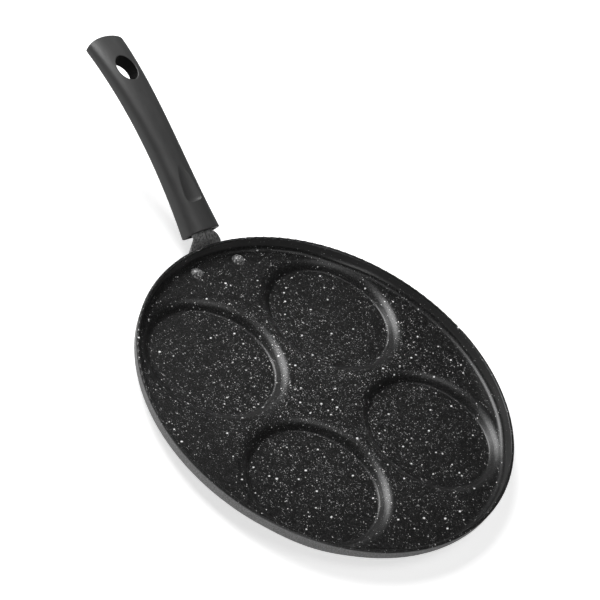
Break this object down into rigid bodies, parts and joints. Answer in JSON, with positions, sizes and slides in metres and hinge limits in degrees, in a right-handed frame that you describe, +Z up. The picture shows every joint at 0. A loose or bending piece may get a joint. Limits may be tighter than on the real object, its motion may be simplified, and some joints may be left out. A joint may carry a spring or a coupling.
{
  "type": "uttapam pan",
  "caption": "Shallow round non-stick griddle pan with pressed cups for small pancakes, and a riveted bracket that carries an arched handle with a hanging hole.",
  "frame": {"origin": "centre of the round pan, on the plane that its four cup bottoms stand on", "axes": "+X out along the handle, +Z up out of the cups, +Y completes the right-handed set"},
  "size_m": [0.412, 0.2598, 0.0689],
  "materials": {
    "nonstick_sheet": "black non-stick coating with pale granite flecks inside, plain grey paint outside",
    "rivet_coat": "speckled non-stick coating",
    "bracket_paint": "grey hammered paint",
    "phenolic": "satin black moulded phenolic",
    "zinc_steel": "zinc plated, satin"
  },
  "bodies": {
    "root": {"pan_body": "nonstick_sheet", "pan_rivets": "rivet_coat", "handle_bracket": "bracket_paint", "handle": "phenolic", "handle_screw": "zinc_steel", "spring_washer": "zinc_steel"}
  },
  "joints": []
}
